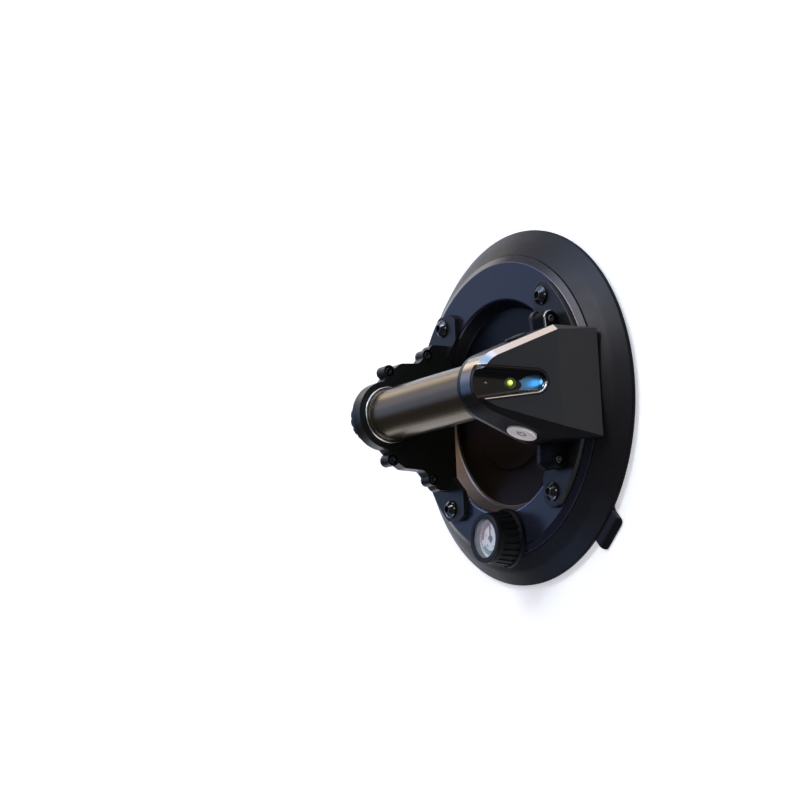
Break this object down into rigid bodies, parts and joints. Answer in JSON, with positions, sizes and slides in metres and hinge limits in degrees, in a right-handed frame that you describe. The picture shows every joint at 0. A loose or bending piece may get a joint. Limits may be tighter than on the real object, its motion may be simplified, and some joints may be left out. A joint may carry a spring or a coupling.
{
  "type": "vacuum lifter",
  "caption": "Battery vacuum lifter: round rubber pad with a dished plate, a tubular grip between two brackets, a pump housing and a dial gauge.",
  "frame": {"origin": "centre of the pad's sealing face, which lies in the plane Z = 0", "axes": "+Z leaves the workpiece, +X runs along the grip towards the pump housing, +Y points from the power button's side to the release button's side"},
  "size_m": [0.254, 0.254, 0.1029],
  "materials": {
    "pad_rubber": "dark navy rubber",
    "plate_enamel": "dark navy enamel",
    "black_nylon": "black satin",
    "charcoal_shell": "charcoal satin",
    "gloss_black": "gloss",
    "anodised_tube": "brown-grey anodised",
    "bright_steel": "bright",
    "black_steel": "black oxide",
    "satin_nickel": "satin nickel",
    "brass": "turned",
    "seal_rubber": "matt",
    "cell_jacket": "blue film jacket",
    "circuit_board": "green resist",
    "green_lamp": "emissive",
    "amber_lamp": "clear amber, unlit",
    "motor_can": "zinc",
    "pump_plastic": "moulded",
    "diaphragm_rubber": "matt",
    "hose": "translucent silicone",
    "felt": "felt",
    "dial_white": "white",
    "pointer_black": "black",
    "clear_lens": "clear"
  },
  "bodies": {
    "lifter": {"pad_rubber": "pad_rubber", "mounting_plate": "plate_enamel", "threaded_insert_1": "brass", "threaded_insert_2": "brass", "threaded_insert_3": "brass", "threaded_insert_4": "brass", "foot_screw_1": "black_steel", "foot_screw_2": "black_steel", "foot_screw_3": "black_steel", "foot_screw_4": "black_steel", "far_bracket": "black_nylon", "far_bracket_cover": "black_nylon", "far_joining_screw_1": "black_steel", "far_joining_screw_2": "black_steel", "far_joining_screw_3": "black_steel", "far_joining_screw_4": "black_steel", "near_bracket": "black_nylon", "pump_housing": "charcoal_shell", "housing_screw_1": "black_steel", "housing_screw_2": "black_steel", "indicator_panel": "gloss_black", "status_lamp": "green_lamp", "warning_lamp": "amber_lamp", "circuit_board": "circuit_board", "power_button_spring": "bright_steel", "power_switch": "pump_plastic", "release_button_spring": "bright_steel", "release_valve": "brass", "grip_tube": "anodised_tube", "grip_ring": "bright_steel", "battery_contact": "circuit_board", "battery_cell_1": "cell_jacket", "battery_cell_2": "cell_jacket", "pump_motor": "motor_can", "pump_body": "pump_plastic", "pump_yoke": "pump_plastic", "pump_diaphragm": "diaphragm_rubber", "pump_head": "pump_plastic", "intake_hose": "hose", "port_fitting": "brass", "port_gasket": "seal_rubber", "port_filter": "felt", "gauge_stem": "brass", "gauge_case": "black_steel", "gauge_boot": "seal_rubber", "gauge_dial": "dial_white", "gauge_movement": "brass", "pressure_coil": "brass", "gauge_lens": "clear_lens", "gauge_bezel": "black_nylon"},
    "power_key": {"power_button": "satin_nickel"},
    "release_key": {"release_button": "black_nylon"},
    "pointer": {"gauge_pointer": "pointer_black"},
    "shaft": {"motor_shaft": "bright_steel"},
    "cap": {"end_cap": "black_nylon", "cap_seal": "seal_rubber", "battery_spring": "bright_steel"}
  },
  "joints": [
    {"name": "power_button_press", "type": "slide", "parent": "lifter", "child": "power_key", "axis": [0, 0.9215, -0.3883], "range_m": [0, 0.0012], "stiffness_N_per_m": 900, "springref_m": -0.002, "deforming": ["power_button_spring"]},
    {"name": "release_button_press", "type": "slide", "parent": "lifter", "child": "release_key", "axis": [0, -0.9215, -0.3883], "range_m": [0, 0.0012], "stiffness_N_per_m": 900, "springref_m": -0.002, "deforming": ["release_button_spring"]},
    {"name": "pointer_turn", "type": "hinge", "parent": "lifter", "child": "pointer", "pos_m": [0.0025, -0.094, 0.0369], "axis": [0, 0, 1], "range_deg": [0, 270], "stiffness_Nm_per_rad": 0.0002},
    {"name": "motor_turn", "type": "hinge", "parent": "lifter", "child": "shaft", "pos_m": [0.0845, 0, 0.038], "axis": [0, 1, 0], "continuous": true},
    {"name": "cap_pull", "type": "slide", "parent": "lifter", "child": "cap", "axis": [-1, 0, 0], "range_m": [0, 0.03]}
  ]
}
